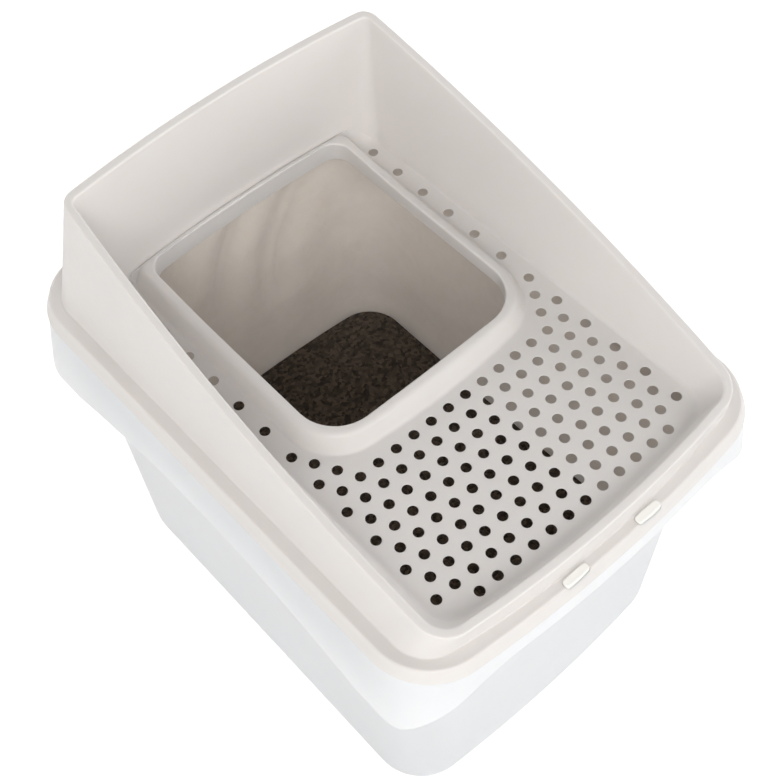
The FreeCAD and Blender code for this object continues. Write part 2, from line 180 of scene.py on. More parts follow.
def fan_faces(ring_first, count_ring, middle, upward):
    """Triangles from one ring to a middle point."""
    j = np.arange(count_ring)
    here, there = ring_first + j, ring_first + (j + 1) % count_ring
    pair = (here, there) if upward else (there, here)
    return np.stack([*pair, np.full(count_ring, middle)], -1)


def closed_body(rows, low, high, first=0):
    """Points and faces of rows of rings, closed by a middle point at either end."""
    count = rows.shape[1]
    middle = first + len(rows) * count
    faces = [
        wall_faces(len(rows), count, first),
        fan_faces(first, count, middle, upward=False),
        fan_faces(middle - count, count, middle + 1, upward=True),
    ]
    return np.r_[rows.reshape(-1, 3), [low, high]], faces


def make_piece(name, points, faces, sharp_deg=45):
    """Mesh object from points in millimetres, shaded smooth except at sharp edges."""
    mesh = bpy.data.meshes.new(name)
    corners = [face for part in faces for face in part.tolist()]
    mesh.from_pydata((np.asarray(points) * MM).tolist(), [], corners)
    mesh.validate()
    mesh.shade_smooth()
    mesh.set_sharp_from_angle(angle=math.radians(sharp_deg))
    piece = bpy.data.objects.new(name, mesh)
    bpy.context.scene.collection.objects.link(piece)
    print(name, len(mesh.vertices), "points", len(mesh.polygons), "faces")
    return piece


# %% [markdown]
# ## The lid's shell
# The lid is one injection moulding of nearly even thickness: lip, ledge, hollow
# screen, deck and the coaming round the entry. So it is drawn as a single skin,
# and thickened afterwards. The rim of the screen lies in a sloping plane, so its
# two outlines are drawn in that plane and then tilted.

# %% Guide outlines of lip, ledge, screen and deck
SCREEN = (173, 247.4, 244.8, 32, 32, 850, 1000)
RIM = (166.8, 256.9, 203.6, 28, 14, 1100, 1430)
DECK = (141, 233, 186.6, 25, 18, 1000, 1200)
DECK_EDGE = (134.5, 228, 186.2, 20, 13, 1000, 1200)
DECK_Z, LIP_Z, LEDGE_OUTER_Z, LEDGE_INNER_Z = 350.0, 330.6, 343.4, 342.2
LIP_TAPER, SCREEN_FLARE = 4.6, 0.3
RIM_TILT, RIM_Z, BEAD = math.radians(14.54), 432.1, 7.0
RIM_BULGE, RIM_BELLY = 2720, 52.7


def rim_outline(inset):
    """Rim outline in its own plane, turned about the cross axis by the tilt."""
    flat = outline(RIM, inset, bulge=RIM_BULGE, belly=RIM_BELLY)
    y, slope = flat[:, 1] * math.cos(RIM_TILT), flat[:, 1] * math.sin(RIM_TILT)
    return np.c_[flat[:, 0], y, RIM_Z + slope]


def ramp(value, start, stop):
    """Share of the way from start to stop, held between nought and one."""
    return np.clip((value - start) / (stop - start), 0, 1)


def eased(share):
    """Share that starts and stops gently: its square, times three less twice itself."""
    return share**2 * (3 - 2 * share)


BACK_FILLET, GROOVE_FLOOR, GROOVE_FROM, GROOVE_FULL = 15.5, 18.6, 2.5, 1.0
GROOVE_HALF, GROOVE_FADE = 124.0, 6.0


def inside_back(flat):
    """Distance of points from the arc of the deck's back edge, inwards."""
    back, arc = DECK_EDGE[2], DECK_EDGE[6]
    return arc - np.hypot(flat[:, 0], flat[:, 1] - back + arc)


def on_deck(flat):
    """Points laid on the deck. It runs up into the back wall in a quarter circle:
    the height is the radius minus the root of its square less the square of the
    part of the radius still to go. Behind the coaming it's the floor of a groove,
    which fades out at the coaming's corners."""
    within = inside_back(flat)
    to_go = np.clip(BACK_FILLET - within, 0, BACK_FILLET)
    fillet = BACK_FILLET - np.sqrt(BACK_FILLET**2 - to_go**2)
    between = eased(ramp(np.abs(flat[:, 0]), GROOVE_HALF, GROOVE_HALF - GROOVE_FADE))
    groove = GROOVE_FLOOR * ramp(within, GROOVE_FROM, GROOVE_FULL) * between
    return level(flat, DECK_Z + np.maximum(fillet, groove))


SIDE_SOFT, FRONT_SOFT, LEAST_SOFT = 2.4, 6.0, 0.2
FRONT_BAND, BACK_BAND = (185, 225), (120, 165)
deck_flat = outline(DECK)
frontness, backness = ramp(-deck_flat[:, 1], *FRONT_BAND), ramp(deck_flat[:, 1], *BACK_BAND)
deck_soft = (SIDE_SOFT + (FRONT_SOFT - SIDE_SOFT) * frontness) * (1 - backness) + LEAST_SOFT
lid_guides = [
    level(outline(LIP), LIP_Z),
    level(outline(LIP, LIP_TAPER), LEDGE_OUTER_Z),
    level(outline(SCREEN, -SCREEN_FLARE), LEDGE_INNER_Z),
    rim_outline(0),
    rim_outline(BEAD),
    on_deck(deck_flat),
    on_deck(outline(DECK_EDGE)),
]
soft_lid = [0, 2.0, 1.6, 1.5, 1.8, deck_soft, 0]
lid_rows = soft_section(lid_guides, soft_lid)
print("lid section rows", lid_rows.shape)

# %% [markdown]
# ## The coaming
# A raised edge runs all round the entry. Its section has a broad flat top, a
# sloping outer face and a hollow where it meets the deck. At the back it stands
# so close to the screen that only a narrow, shallow groove is left between the
# two.

# %% Guide outlines of the coaming
ENTRY = (103.8, 57, 180.6, 37, 17, 4000, 1400)
COAMING_TOP = (112.3, 66, 184.2, 44, 7, 1500, 1250)
COAMING_FOOT = (119.6, 75, 185.5, 48, 6, 680, 1200)
COAMING_EDGE = (121.6, 77, 185.9, 50, 6, 682, 1200)
COAMING_Z, COAMING_FALL, COAMING_RISE = 366.6, 0.4, 4.5
RISE_FROM, RISE_TO, ENTRY_FOOT = 90, 180, 2.0


def coaming_level(shape, below=0.0):
    """Outline at the height of the coaming's top, which rises towards the back."""
    flat = outline(shape)
    rise = COAMING_RISE * eased(ramp(flat[:, 1], RISE_FROM, RISE_TO))
    return level(flat, COAMING_Z - below + rise)


coaming_guides = [
    on_deck(outline(COAMING_EDGE)),
    on_deck(outline(COAMING_FOOT)),
    coaming_level(COAMING_TOP, below=COAMING_FALL),
    coaming_level(ENTRY),
    level(outline(ENTRY), DECK_Z + ENTRY_FOOT),
]
soft_coaming = [0, 4.0, 4.5, 2.2, 0]
coaming_rows = soft_section(coaming_guides, soft_coaming)
print("coaming section rows", coaming_rows.shape)

# %% [markdown]
# ## The deck and its holes
# The holes stand in staggered rows, as circles do when they are packed: every
# second row is shifted by half a pitch. The flat part of the deck between the
# screen, the coaming and the holes is filled with triangles by Blender's own
# triangulation, and each hole gets a small chamfer that catches the light. Beside
# the coaming the fill gets loose points as well, so that the fillet up into the
# back wall comes out round.

# %% Hole places
COLUMN, ROW, FIRST_ROW = 18.43, 16.31, 86.4
HOLE_R, HOLE_CHAMFER, HOLE_POINTS = 4.35, 0.45, 28
rows_of_holes = [(r, np.arange(n) - (n - 1) / 2) for r, n in enumerate([14, 15] * 4 + [12])]
rows_of_holes += [(-1, np.array([-6, 6])), (-2, np.array([-6.5, 6.5]))]
rows_of_holes += [(r, np.array([-7, 7])) for r in range(-15, 0, 2)]
holes = np.concatenate(
    [np.c_[c * COLUMN, np.full(len(c), -FIRST_ROW - r * ROW)] for r, c in rows_of_holes]
)
print("holes", len(holes))

# %% Fill the deck between the screen, the coaming and the holes
FILLET_DEPTHS = [1.0, 2.2, 4.0, 6.2, 8.8, 12.0, 15.5]
FILLET_PLACES = np.r_[-140:-118:2.2, 118:140:2.2]
LOOSE_GAP = 0.8
turn = np.linspace(0, math.tau, HOLE_POINTS, endpoint=False)
circle = np.c_[np.cos(turn), np.sin(turn)]


def loops(*rings):
    """Points of closed rings, one after another, with the edges that close them."""
    points, edges, start = [], [], 0
    for ring in rings:
        k = np.arange(len(ring))
        edges.append(np.c_[start + k, start + (k + 1) % len(ring)])
        points.append(ring)
        start += len(ring)
    return np.concatenate(points), np.concatenate(edges)


def inside(points, ring):
    """Which points lie in a closed ring, by counting the edges that a ray crosses."""
    a, b = ring, np.roll(ring, -1, axis=0)
    x, y = points[:, :1], points[:, 1:]
    rise = np.where(a[:, 1] == b[:, 1], 1e-12, b[:, 1] - a[:, 1])
    at = (y - a[:, 1]) / rise * (b[:, 0] - a[:, 0]) + a[:, 0]
    return (((a[:, 1] > y) != (b[:, 1] > y)) & (x < at)).sum(1) % 2 == 1


hole_rings = [at + circle * (HOLE_R + HOLE_CHAMFER) for at in holes]
deck_points, deck_edges = loops(lid_rows[-1][:, :2], coaming_rows[0][:, :2], *hole_rings)
depth, across = (grid.ravel() for grid in np.meshgrid(FILLET_DEPTHS, FILLET_PLACES))
arc_back, arc_radius = DECK_EDGE[2], DECK_EDGE[6]
loose = np.c_[across, arc_back - arc_radius + np.sqrt((arc_radius - depth) ** 2 - across**2)]
off_edge = inside(loose, outline(DECK_EDGE, LOOSE_GAP))
off_coaming = ~inside(loose, outline(COAMING_EDGE, -LOOSE_GAP))
deck_points = np.r_[deck_points, loose[off_edge & off_coaming]]
filled = delaunay_2d_cdt([Vector(p) for p in deck_points], deck_edges.tolist(), [], 0, 1e-6)
flat_points, triangles = np.array(filled[0]), np.array(filled[2])
apart = np.hypot(flat_points[:, None, 0] - holes[:, 0], flat_points[:, None, 1] - holes[:, 1])
owner = np.where(apart.min(1) < HOLE_R + 2 * HOLE_CHAMFER, apart.argmin(1), -1)[triangles]
in_hole = (owner[:, 0] >= 0) & (owner == owner[:, :1]).all(1)
middle = flat_points[triangles].mean(1)
on_plate = inside(middle, lid_rows[-1][:, :2]) & ~inside(middle, coaming_rows[0][:, :2])
triangles = triangles[on_plate & ~in_hole]
side_a, side_b = (flat_points[triangles[:, k]] - flat_points[triangles[:, 0]] for k in (1, 2))
upside = side_a[:, 0] * side_b[:, 1] - side_a[:, 1] * side_b[:, 0] < 0
triangles[upside] = triangles[upside][:, ::-1]
print("deck triangles", len(triangles))

# %% Join screen, deck, chamfers and coaming into one skin
LID_SHARP = 30
chamfer_top = np.concatenate(hole_rings)
chamfer_low = np.concatenate([at + circle * HOLE_R for at in holes])
chamfer_points = np.r_[level(chamfer_top, DECK_Z), level(chamfer_low, DECK_Z - HOLE_CHAMFER)]
ring_count = lid_rows.shape[1]
blocks = [
    lid_rows.reshape(-1, 3),
    on_deck(flat_points),
    chamfer_points,
    coaming_rows.reshape(-1, 3),
]
starts = np.cumsum([0] + [len(b) for b in blocks])
k = np.arange(len(chamfer_top))
k_next = k - k % HOLE_POINTS + (k + 1) % HOLE_POINTS
chamfer_faces = starts[2] + np.c_[k, k_next, k_next + len(k), k + len(k)]
lid_faces = [
    wall_faces(len(lid_rows), ring_count, starts[0]),
    triangles + starts[1],
    chamfer_faces,
    wall_faces(len(coaming_rows), ring_count, starts[3]),
]
lid_skin = make_piece("lid_shell", np.concatenate(blocks), lid_faces, sharp_deg=LID_SHARP)


def weld(piece, distance_mm=0.02):
    """Merge points that fall on one another and turn all faces the same way."""
    work = bmesh.new()
    work.from_mesh(piece.data)
    bmesh.ops.remove_doubles(work, verts=work.verts, dist=distance_mm * MM)
    bmesh.ops.recalc_face_normals(work, faces=work.faces)
    if sum(face.normal.z * face.calc_area() for face in work.faces) < 0:
        bmesh.ops.reverse_faces(work, faces=work.faces)
    print("open edges", sum(edge.is_boundary for edge in work.edges))
    work.to_mesh(piece.data)
    work.free()


weld(lid_skin)

# %% [markdown]
# ## Wall thickness and slots
# A Solidify modifier gives the skin the thickness of the moulding, less of it in
# the narrow edge behind the entry, where the full wall has no room. The tongues
# of the clips come up through slots in the ledge, and these are cut with a
# Boolean modifier, because they follow no line of the lid's own grid.

# %% Thicken the lid
LID_WALL, NARROW_SHARE, NARROW_FROM, NARROW_TO = 2.5, 0.4, 0.15, 9.0
places = np.empty(len(lid_skin.data.vertices) * 3)
lid_skin.data.vertices.foreach_get("co", places)
places = places.reshape(-1, 3) / MM
depth = inside_back(places)
narrow = (depth > NARROW_FROM) & (depth < NARROW_TO)
narrow &= (np.abs(places[:, 0]) < GROOVE_HALF) & (places[:, 2] > DECK_Z)
full_wall = lid_skin.vertex_groups.new(name="full_wall")
full_wall.add(np.flatnonzero(~narrow).tolist(), 1.0, "REPLACE")
thick = lid_skin.modifiers.new("wall", "SOLIDIFY")
thick.thickness, thick.offset = LID_WALL * MM, -1
thick.vertex_group, thick.thickness_vertex_group = full_wall.name, NARROW_SHARE
thick.use_quality_normals = True
print("points of the narrow edge behind the entry", int(narrow.sum()))

# %% Cut the slots
TAB_X, TAB_W, TAB_D, TAB_EDGE = 38.75, 24.5, 7.4, 257.2
HEAD, HEAD_POINTS = (TAB_W / 2, TAB_D / 2, TAB_D / 2, 2.6, 2.6, 200, 200), (8, 5, 14)
FRONT_PLAY, BACK_PLAY, SLOT_LOW, SLOT_HIGH = 0.35, 0.8, 331.0, 347.0
TAB_PLACES = [(-1, -1), (1, -1), (-1, 1), (1, 1)]


def tab_place(sx, sy):
    """Middle of a tongue in plan, mirrored to the four corners by two signs."""
    return np.array([sx * TAB_X, sy * (TAB_EDGE - TAB_D / 2), 0.0])


slot_points, slot_faces = [], []
for sx, sy in TAB_PLACES:
    slot = outline(HEAD, -FRONT_PLAY if sy < 0 else -BACK_PLAY, points=HEAD_POINTS)
    column = np.array([level(slot, SLOT_LOW), level(slot, SLOT_HIGH)]) + tab_place(sx, sy)
    points, faces = closed_body(column, *column.mean(1), first=sum(map(len, slot_points)))
    slot_points.append(points)
    slot_faces += faces
slot_cutter = make_piece("slot_cutter", np.concatenate(slot_points), slot_faces)
cut = lid_skin.modifiers.new("slots", "BOOLEAN")
cut.operation, cut.solver, cut.object = "DIFFERENCE", "MANIFOLD", slot_cutter
graph = bpy.context.evaluated_depsgraph_get()
finished = bpy.data.meshes.new_from_object(lid_skin.evaluated_get(graph))
lid_skin.modifiers.clear()
lid_skin.data = finished
finished.set_sharp_from_angle(angle=math.radians(LID_SHARP))
bpy.data.objects.remove(slot_cutter)
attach(lid_skin, "lid_body")
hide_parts("lid")
print("lid faces", len(finished.polygons))

# %% [markdown]
# ## The bin
# The tub, its stand-up mouth, the flange and the hanging skirt are one moulding
# too, and its section is a single closed line: under the floor, up the wall,
# out under the flange, down and up the skirt, in over the flange, over the
# mouth and down inside. At the short ends the skirt is cut away in an arch, as
# a grip for the hands, and along the sides its edge rises in a long flat arc.

# %% Guide outlines of the bin
BASE = (165, 220, 220, 48, 48, 1510, 1510)
MOUTH = (180.5, 235, 235, 67, 67, 1360, 1360)
SKIRT = (189, 260.75, 260.75, 56, 56, 1240, 1240)
HEM = (196, 267.75, 267.75, 48, 48, 1240, 1240)
FLANGE_Z, MOUTH_Z, BASE_Z, FLOOR_Z, WALL = 330.3, 338.0, 12.0, 3.0, 2.8
BASE_TAPER, FLOOR_TAPER, SKIRT_DROP = 0.6, 0.4, 73.0
HEM_Z = FLANGE_Z - SKIRT_DROP
END_FLAT, END_RISE, END_R, END_FROM = 90.0, 53.0, 126.0, 211.75
SIDE_RISE, SIDE_R = 22.0, 786.7


def tub_outline(inset, z):
    """Tub outline at a height, straight between the foot and the mouth."""
    share = (z - BASE_Z) / (MOUTH_Z - BASE_Z)
    return level(outline(BASE, inset) * (1 - share) + outline(MOUTH, inset) * share, z)


def arch_over(edge):
    """Height of the arches above the hem, by the circle each is cut with: at the
    ends it starts beside a flat middle, along the sides it is one long arc."""
    past = np.clip(np.abs(edge[:, 0]) - END_FLAT, 0, END_R)
    ends = END_RISE - END_R + np.sqrt(END_R**2 - past**2)
    sides = SIDE_RISE - SIDE_R + np.sqrt(SIDE_R**2 - edge[:, 1] ** 2)
    return np.clip(np.maximum(ends * (np.abs(edge[:, 1]) > END_FROM), sides), 0, None)


def skirt_outline(inset):
    """Lower edge of the skirt, moved up along the skirt's own sloping wall until
    it meets the arch; a few rounds settle it."""
    low, high = level(outline(HEM, inset), HEM_Z), level(outline(SKIRT, inset), FLANGE_Z)
    edge = low
    for _ in range(5):
        edge = low + (high - low) * (arch_over(edge) / SKIRT_DROP)[:, None]
    return edge


bin_guides = [
    level(outline(BASE, BASE_TAPER), 0.0),
    tub_outline(0, FLANGE_Z - WALL),
    level(outline(SKIRT, WALL), FLANGE_Z - WALL),
    skirt_outline(WALL),
    skirt_outline(0),
    level(outline(SKIRT), FLANGE_Z),
    tub_outline(0, FLANGE_Z),
    tub_outline(0, MOUTH_Z),
    tub_outline(WALL, MOUTH_Z),
    level(outline(BASE, WALL + FLOOR_TAPER), FLOOR_Z),
]
hem_z = skirt_outline(0)[:, 2]
print("skirt edge between", round(hem_z.min(), 1), "and", round(hem_z.max(), 1), "mm")

# %% Close the section under and over the floor
SMALL_RING = (0.05, 0.05, 1)
soft_bin = [0, 11.5, 3.0, 2.0, 1.1, 1.1, 1.6, 1.5, 1.1, 1.1, 10.0, 0]
floor_to_floor = [bin_guides[0] * SMALL_RING, *bin_guides, bin_guides[-1] * SMALL_RING]
bin_rows = soft_section(floor_to_floor, soft_bin)
bin_shell = make_piece("bin_shell", *closed_body(bin_rows, (0, 0, 0), (0, 0, FLOOR_Z)))
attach(bin_shell, "bin_body")
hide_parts("bin")

# %% [markdown]
# ## The clips
# Four clip-in tongues hold lid and bin together. The front pair are straight
# latches; the back pair are trimmed to a cylinder about the hinge line, so the
# slots of the lid can swing off them.

# %% Tongues with rounded heads
HINGE_Y, HINGE_R = 261.75, 15.12
TAB_TOP, HEAD_SOFT, HEAD_INSET = 345.0, 1.4, 2.2
LEG, LEG_TAPER, LEG_Z, LEG_TAPER_Z = (7.0, 1.7, 1.7, 0.5, 0.5, 200, 200), 0.4, 325.3, 326.2


def tongue(name, sx, sy, node):
    """Column with a rounded head on a narrow leg; the back pair are kept inside
    the hinge cylinder: y is never less than the axis minus the chord there."""
    section = [
        (LEG, LEG_TAPER, LEG_Z),
        (LEG, 0.0, LEG_TAPER_Z),
        (LEG, 0.0, FLANGE_Z),
        (HEAD, 0.0, FLANGE_Z),
        (HEAD, 0.0, TAB_TOP),
        (HEAD, HEAD_INSET, TAB_TOP),
    ]
    guides = [level(outline(shape, inset, points=HEAD_POINTS), z) for shape, inset, z in section]
    rows = soft_section(guides, [0, 0, 0, 0, HEAD_SOFT, 0]) + tab_place(sx, sy)
    if sy > 0:
        chord = np.sqrt(np.maximum(HINGE_R**2 - (rows[..., 2] - LIP_Z) ** 2, 0))
        above = rows[..., 2] > LIP_Z
        rows[..., 1] = np.where(above, np.maximum(rows[..., 1], HINGE_Y - chord), rows[..., 1])
    body = closed_body(rows, rows[0].mean(0), rows[-1].mean(0))
    piece = make_piece(name, *body, sharp_deg=50)
    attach(piece, "bin_body")
    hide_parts(node)
    return piece


NAMES = ["latch_tongue_left", "latch_tongue_right", "hinge_tongue_left", "hinge_tongue_right"]
NODES = ["latch_tab_left", "latch_tab_right", "hinge_hook_left", "hinge_hook_right"]
tongues = [tongue(name, *place, node) for name, place, node in zip(NAMES, TAB_PLACES, NODES)]

# %% [markdown]
# ## The liner bag
# A thin film lines the tub and is folded over its mouth. Film pressed into a
# box stands in creases, so the sheet is a grid up the wall and over the mouth
# whose points are pushed inwards by a few sets of sharp folds, and above the
# litter by a broad slanting swell.

# %% Creased film
FILM_ROWS, FILM_GAP, FILM_FLOOR_Z, FILM_FLOOR_INSET = 90, WALL + 1.0, 3.6, 16
FILM_FOOT_Z, FILM_MOUTH_Z = 6.0, 335.0
OVER_MOUTH = [(WALL + 0.9, 337.6), (WALL + 0.2, 338.9), (-0.1, 339.0), (-1.0, 338.2), (-1.1, 332.0)]
FOLD_MM, FINE_MM, SLANT_MM, SWELL_MM, RIDGE_MM = 2.4, 1.5, 1.0, 9.0, 3.0
SWELL_BAND, MOUTH_BAND, FOOT_BAND, CREASE_POWER = (0.24, 0.44), (1, 0.94), (0, 0.05), 0.7


def crease(phase):
    """Fold profile that is zero in the valleys and rises to a sharp ridge."""
    return 1 - np.abs(np.sin(math.pi * phase)) ** CREASE_POWER


height = np.linspace(0, 1, FILM_ROWS)[:, None]
around = np.linspace(0, 1, ring_count, endpoint=False)[None, :]
foot_ring, mouth_ring = tub_outline(FILM_GAP, FILM_FOOT_Z), tub_outline(FILM_GAP, FILM_MOUTH_Z)
wall_rows = foot_ring[None] * (1 - height[..., None]) + mouth_ring[None] * height[..., None]
bend = 0.35 * np.sin(5 * height + 1.0) + 0.2 * np.sin(3 * math.tau * around)
slant = 11 * around + 2.3 * height + bend
folds = FOLD_MM * crease(9 * around + 1.6 * height + bend)
folds = folds + FINE_MM * crease(17 * around - 1.9 * height + 0.2 * np.sin(11 * height))
folds = folds + SLANT_MM * crease(5 * around + 6.0 * height)
swell = SWELL_MM * (0.5 - 0.5 * np.cos(math.tau * slant)) + RIDGE_MM * crease(slant)
folds = folds + ramp(height, *SWELL_BAND) * swell
fade = ramp(height, *MOUTH_BAND) * ramp(height, *FOOT_BAND)
inwards = -wall_rows[..., :2] / np.linalg.norm(wall_rows[..., :2], axis=-1, keepdims=True)
wall_rows[..., :2] += inwards * (folds * fade)[..., None]
floor_rows = [
    level(foot_ring[:, :2] * SMALL_RING[:2], FILM_FLOOR_Z),
    level(outline(BASE, FILM_FLOOR_INSET), FILM_FLOOR_Z),
]
over_rows = [tub_outline(inset, z) for inset, z in OVER_MOUTH]
film_rows = np.array([*floor_rows, *wall_rows, *over_rows])
film_points = np.r_[film_rows.reshape(-1, 3), [[0, 0, FILM_FLOOR_Z]]]
film_faces = [
    wall_faces(len(film_rows), ring_count)[:, ::-1],
    fan_faces(0, ring_count, len(film_points) - 1, upward=True),
]
liner = make_piece("liner_film", film_points, film_faces, sharp_deg=180)
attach(liner, "bin_body")
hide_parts("liner_bag")

# %% [markdown]
# ## The litter
# Loose granules lie in low heaps. The bed is a grid of rings from the wall to
# the middle, with a gentle height made of a few crossing waves; the granules
# themselves belong to the material.

# %% Litter bed
FILM_FACE, LITTER_FLOOR_Z, LITTER_FLOOR_INSET = WALL + 9.5, 4.4, 22
LITTER_FOOT_INSET, LITTER_FOOT_Z = FILM_FACE + 3.0, 16.0
LITTER_RINGS, LITTER_EDGE_Z, HEAP_MM, WAVE_MM = 70, 66.0, 4.0, 1.6
EDGE_BAND, LEAST_RING = (1, 0.94), 0.01
inner_share = np.linspace(1, LEAST_RING, LITTER_RINGS)[:, None, None]
to_middle = np.concatenate([inner_share, inner_share, np.ones_like(inner_share)], -1)
top_rows = tub_outline(FILM_FACE, LITTER_EDGE_Z)[None] * to_middle
x, y = top_rows[..., 0], top_rows[..., 1]
waves = np.sin(x / 31 + 1.2) * np.sin(y / 43)
waves = waves + 0.6 * np.sin(x / 17 - y / 23) + 0.4 * np.sin(y / 13 + x / 37)
slope_in = ramp(inner_share[..., 0], *EDGE_BAND)
top_rows[..., 2] = LITTER_EDGE_Z + slope_in * (HEAP_MM + WAVE_MM * waves)
litter_floor = level(outline(BASE, LITTER_FLOOR_INSET), LITTER_FLOOR_Z)
litter_foot = tub_outline(LITTER_FOOT_INSET, LITTER_FOOT_Z)
litter_rows = np.array([litter_floor * SMALL_RING, litter_floor, litter_foot, *top_rows])
litter_body = closed_body(litter_rows, (0, 0, LITTER_FLOOR_Z), litter_rows[-1].mean(0))
litter = make_piece("litter_heap", *litter_body)
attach(litter, "bin_body")
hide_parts("litter_bed")

# %% [markdown]
# ## Materials
# Everything but the litter is plastic, and plastics differ in colour, gloss and
# in how much light they let through. Colours are written as sRGB hex values and
# turned to linear by one function; patterns take their scale from real
# millimetres, because Object coordinates are in metres.

# %% Colour and node helpers
def paint(code):
    """sRGB hex to linear RGBA, by the standard's two-part curve."""
    raw = np.array([int(code[i : i + 2], 16) for i in (1, 3, 5)]) / 255
    linear = np.where(raw <= 0.04045, raw / 12.92, ((raw + 0.055) / 1.055) ** 2.4)
    return (*linear.tolist(), 1.0)


def per_mm(size):
    """Texture scale that makes one cell of a pattern this many millimetres."""
    return 1000.0 / size


def node(tree, kind, settings=None, **sockets):
    """Add a node, set its properties, and fill its inputs with values or links."""
    made = tree.nodes.new(kind)
    for key, value in (settings or {}).items():
        setattr(made, key, value)
    for key, value in sockets.items():
        number = key[1:]
        target = made.inputs[int(number) if number.isdigit() else key.replace("_", " ")]
        if isinstance(value, bpy.types.NodeSocket):
            tree.links.new(value, target)
        else:
            target.default_value = value
    return made


def start_material(name):
    """Empty node material with its output node."""
    material = bpy.data.materials.new(name)
    material.use_nodes = True
    material.node_tree.nodes.clear()
    output = node(material.node_tree, "ShaderNodeOutputMaterial")
    return material, material.node_tree, output


def two_tones(tree, share, dark, light):
    """Colour between two paints, by a share."""
    rgb = {"data_type": "RGBA"}
    return node(tree, "ShaderNodeMix", rgb, _0=share, _6=paint(dark), _7=paint(light)).outputs[2]


# %% [markdown]
# Polypropylene straight from a mould has a fine spark-eroded grain: it is satin,
# a little uneven in gloss, and faintly mottled where the melt cooled. The grain
# of about a third of a millimetre is too fine for the picture, so it is drawn at
# one millimetre.

# %% Moulded polypropylene
GLOSS_SPREAD = 0.05


def moulded_plastic(name, light, dark, rough, glow, depth_mm=8.0, grain_mm=1.0, bump_mm=0.012):
    """Satin plastic: two close tones by a slow noise, gloss by a second noise,
    and a fine grain as bump. glow is the share of light that scatters inside, and
    depth how far it gets."""
    material, tree, output = start_material(name)
    where = node(tree, "ShaderNodeTexCoord").outputs["Object"]
    slow = node(tree, "ShaderNodeTexNoise", Vector=where, Scale=per_mm(70), Detail=3.0)
    tone = two_tones(tree, slow.outputs["Fac"], dark, light)
    scuff = node(tree, "ShaderNodeTexNoise", Vector=where, Scale=per_mm(9), Detail=5.0)
    gloss = node(
        tree, "ShaderNodeMapRange",
        Value=scuff.outputs["Fac"], From_Min=0.3, From_Max=0.7,
        To_Min=rough - GLOSS_SPREAD, To_Max=rough + GLOSS_SPREAD,
    )
    grain = node(tree, "ShaderNodeTexNoise", Vector=where, Scale=per_mm(grain_mm), Detail=2.0)
    relief = node(
        tree, "ShaderNodeBump",
        Strength=0.35, Distance=bump_mm * MM, Height=grain.outputs["Fac"],
    )
    shader = node(
        tree, "ShaderNodeBsdfPrincipled",
        Base_Color=tone, Roughness=gloss.outputs["Result"], IOR=1.49,
        Normal=relief.outputs["Normal"],
    )
    if glow > 0:
        shader.inputs["Subsurface Weight"].default_value = glow
        shader.inputs["Subsurface Radius"].default_value = (1.0, 0.9, 0.8)
        shader.inputs["Subsurface Scale"].default_value = depth_mm * MM
    tree.links.new(shader.outputs[0], output.inputs["Surface"])
    return material


grey_polypropylene = moulded_plastic(
    "grey_polypropylene", "#E5E1DE", "#E0DCD9", rough=0.42, glow=0.6, depth_mm=3.0
)
white_polypropylene = moulded_plastic(
    "white_polypropylene", "#F7F7F8", "#F3F3F4", rough=0.40, glow=0.8, depth_mm=16.0
)
clip_acetal = moulded_plastic("clip_acetal", "#F8F7F2", "#F3F2EC", rough=0.33, glow=0.0)
lid_skin.data.materials.clear()
lid_skin.data.materials.append(grey_polypropylene)
bin_shell.data.materials.append(white_polypropylene)
for piece in tongues:
    piece.data.materials.append(clip_acetal)
print("plastics made")

# %% [markdown]
# The film is low-density polyethylene: thin, milky and slightly shiny on its
# creases. It lets the wall behind it show through, and a faint glow of its own
# stands in for the daylight that comes in through the white tub.

# %% Polyethylene film
polyethylene_film, tree, output = start_material("polyethylene_film")
where = node(tree, "ShaderNodeTexCoord").outputs["Object"]
wrinkle = node(tree, "ShaderNodeTexNoise", Vector=where, Scale=per_mm(18), Detail=4.0, Distortion=1.2)
relief = node(tree, "ShaderNodeBump", Strength=0.5, Distance=1.2 * MM, Height=wrinkle.outputs["Fac"])
milk = two_tones(tree, wrinkle.outputs["Fac"], "#EEE0D2", "#F8EFE5")
shader = node(
    tree, "ShaderNodeBsdfPrincipled",
    Base_Color=milk, Roughness=0.3, IOR=1.51, Alpha=0.6, Normal=relief.outputs["Normal"],
    Emission_Color=paint("#EBD9C8"), Emission_Strength=0.045,
)
tree.links.new(shader.outputs[0], output.inputs["Surface"])
liner.data.materials.append(polyethylene_film)

# %% [markdown]
# Clay litter is a heap of dull broken grains, two to four millimetres across,
# no two of the same grey. Voronoi cells give each grain its own tone, and the
# distance from a cell's middle rounds the grain off towards the gaps.

# %% Clay granules
clay_granules, tree, output = start_material("clay_granules")
where = node(tree, "ShaderNodeTexCoord").outputs["Object"]
cells = node(tree, "ShaderNodeTexVoronoi", Vector=where, Scale=per_mm(3.5))
grain_tone = node(tree, "ShaderNodeSeparateColor", Color=cells.outputs["Color"])
clay = two_tones(tree, grain_tone.outputs["Red"], "#3A332C", "#74695D")
relief = node(
    tree, "ShaderNodeBump", {"invert": True},
    Strength=0.9, Distance=1.5 * MM, Height=cells.outputs["Distance"],
)
shader = node(
    tree, "ShaderNodeBsdfPrincipled",
    Base_Color=clay, Roughness=0.92, Normal=relief.outputs["Normal"],
)
tree.links.new(shader.outputs[0], output.inputs["Surface"])
litter.data.materials.append(clay_granules)
print("film and granules made")

# %% [markdown]
# ## Floor, light and camera
# The box stands on a pale floor in soft studio light: one large lamp in front of
# its near corner, weaker ones to the right and behind, and a sky that is bright
# low down and dark overhead, like the pale walls of a studio. The white that the
# camera sees is for the camera and for reflections, and takes no part in the
# diffuse light on the object; away from the box the floor brightens until it's as
# white as the background.

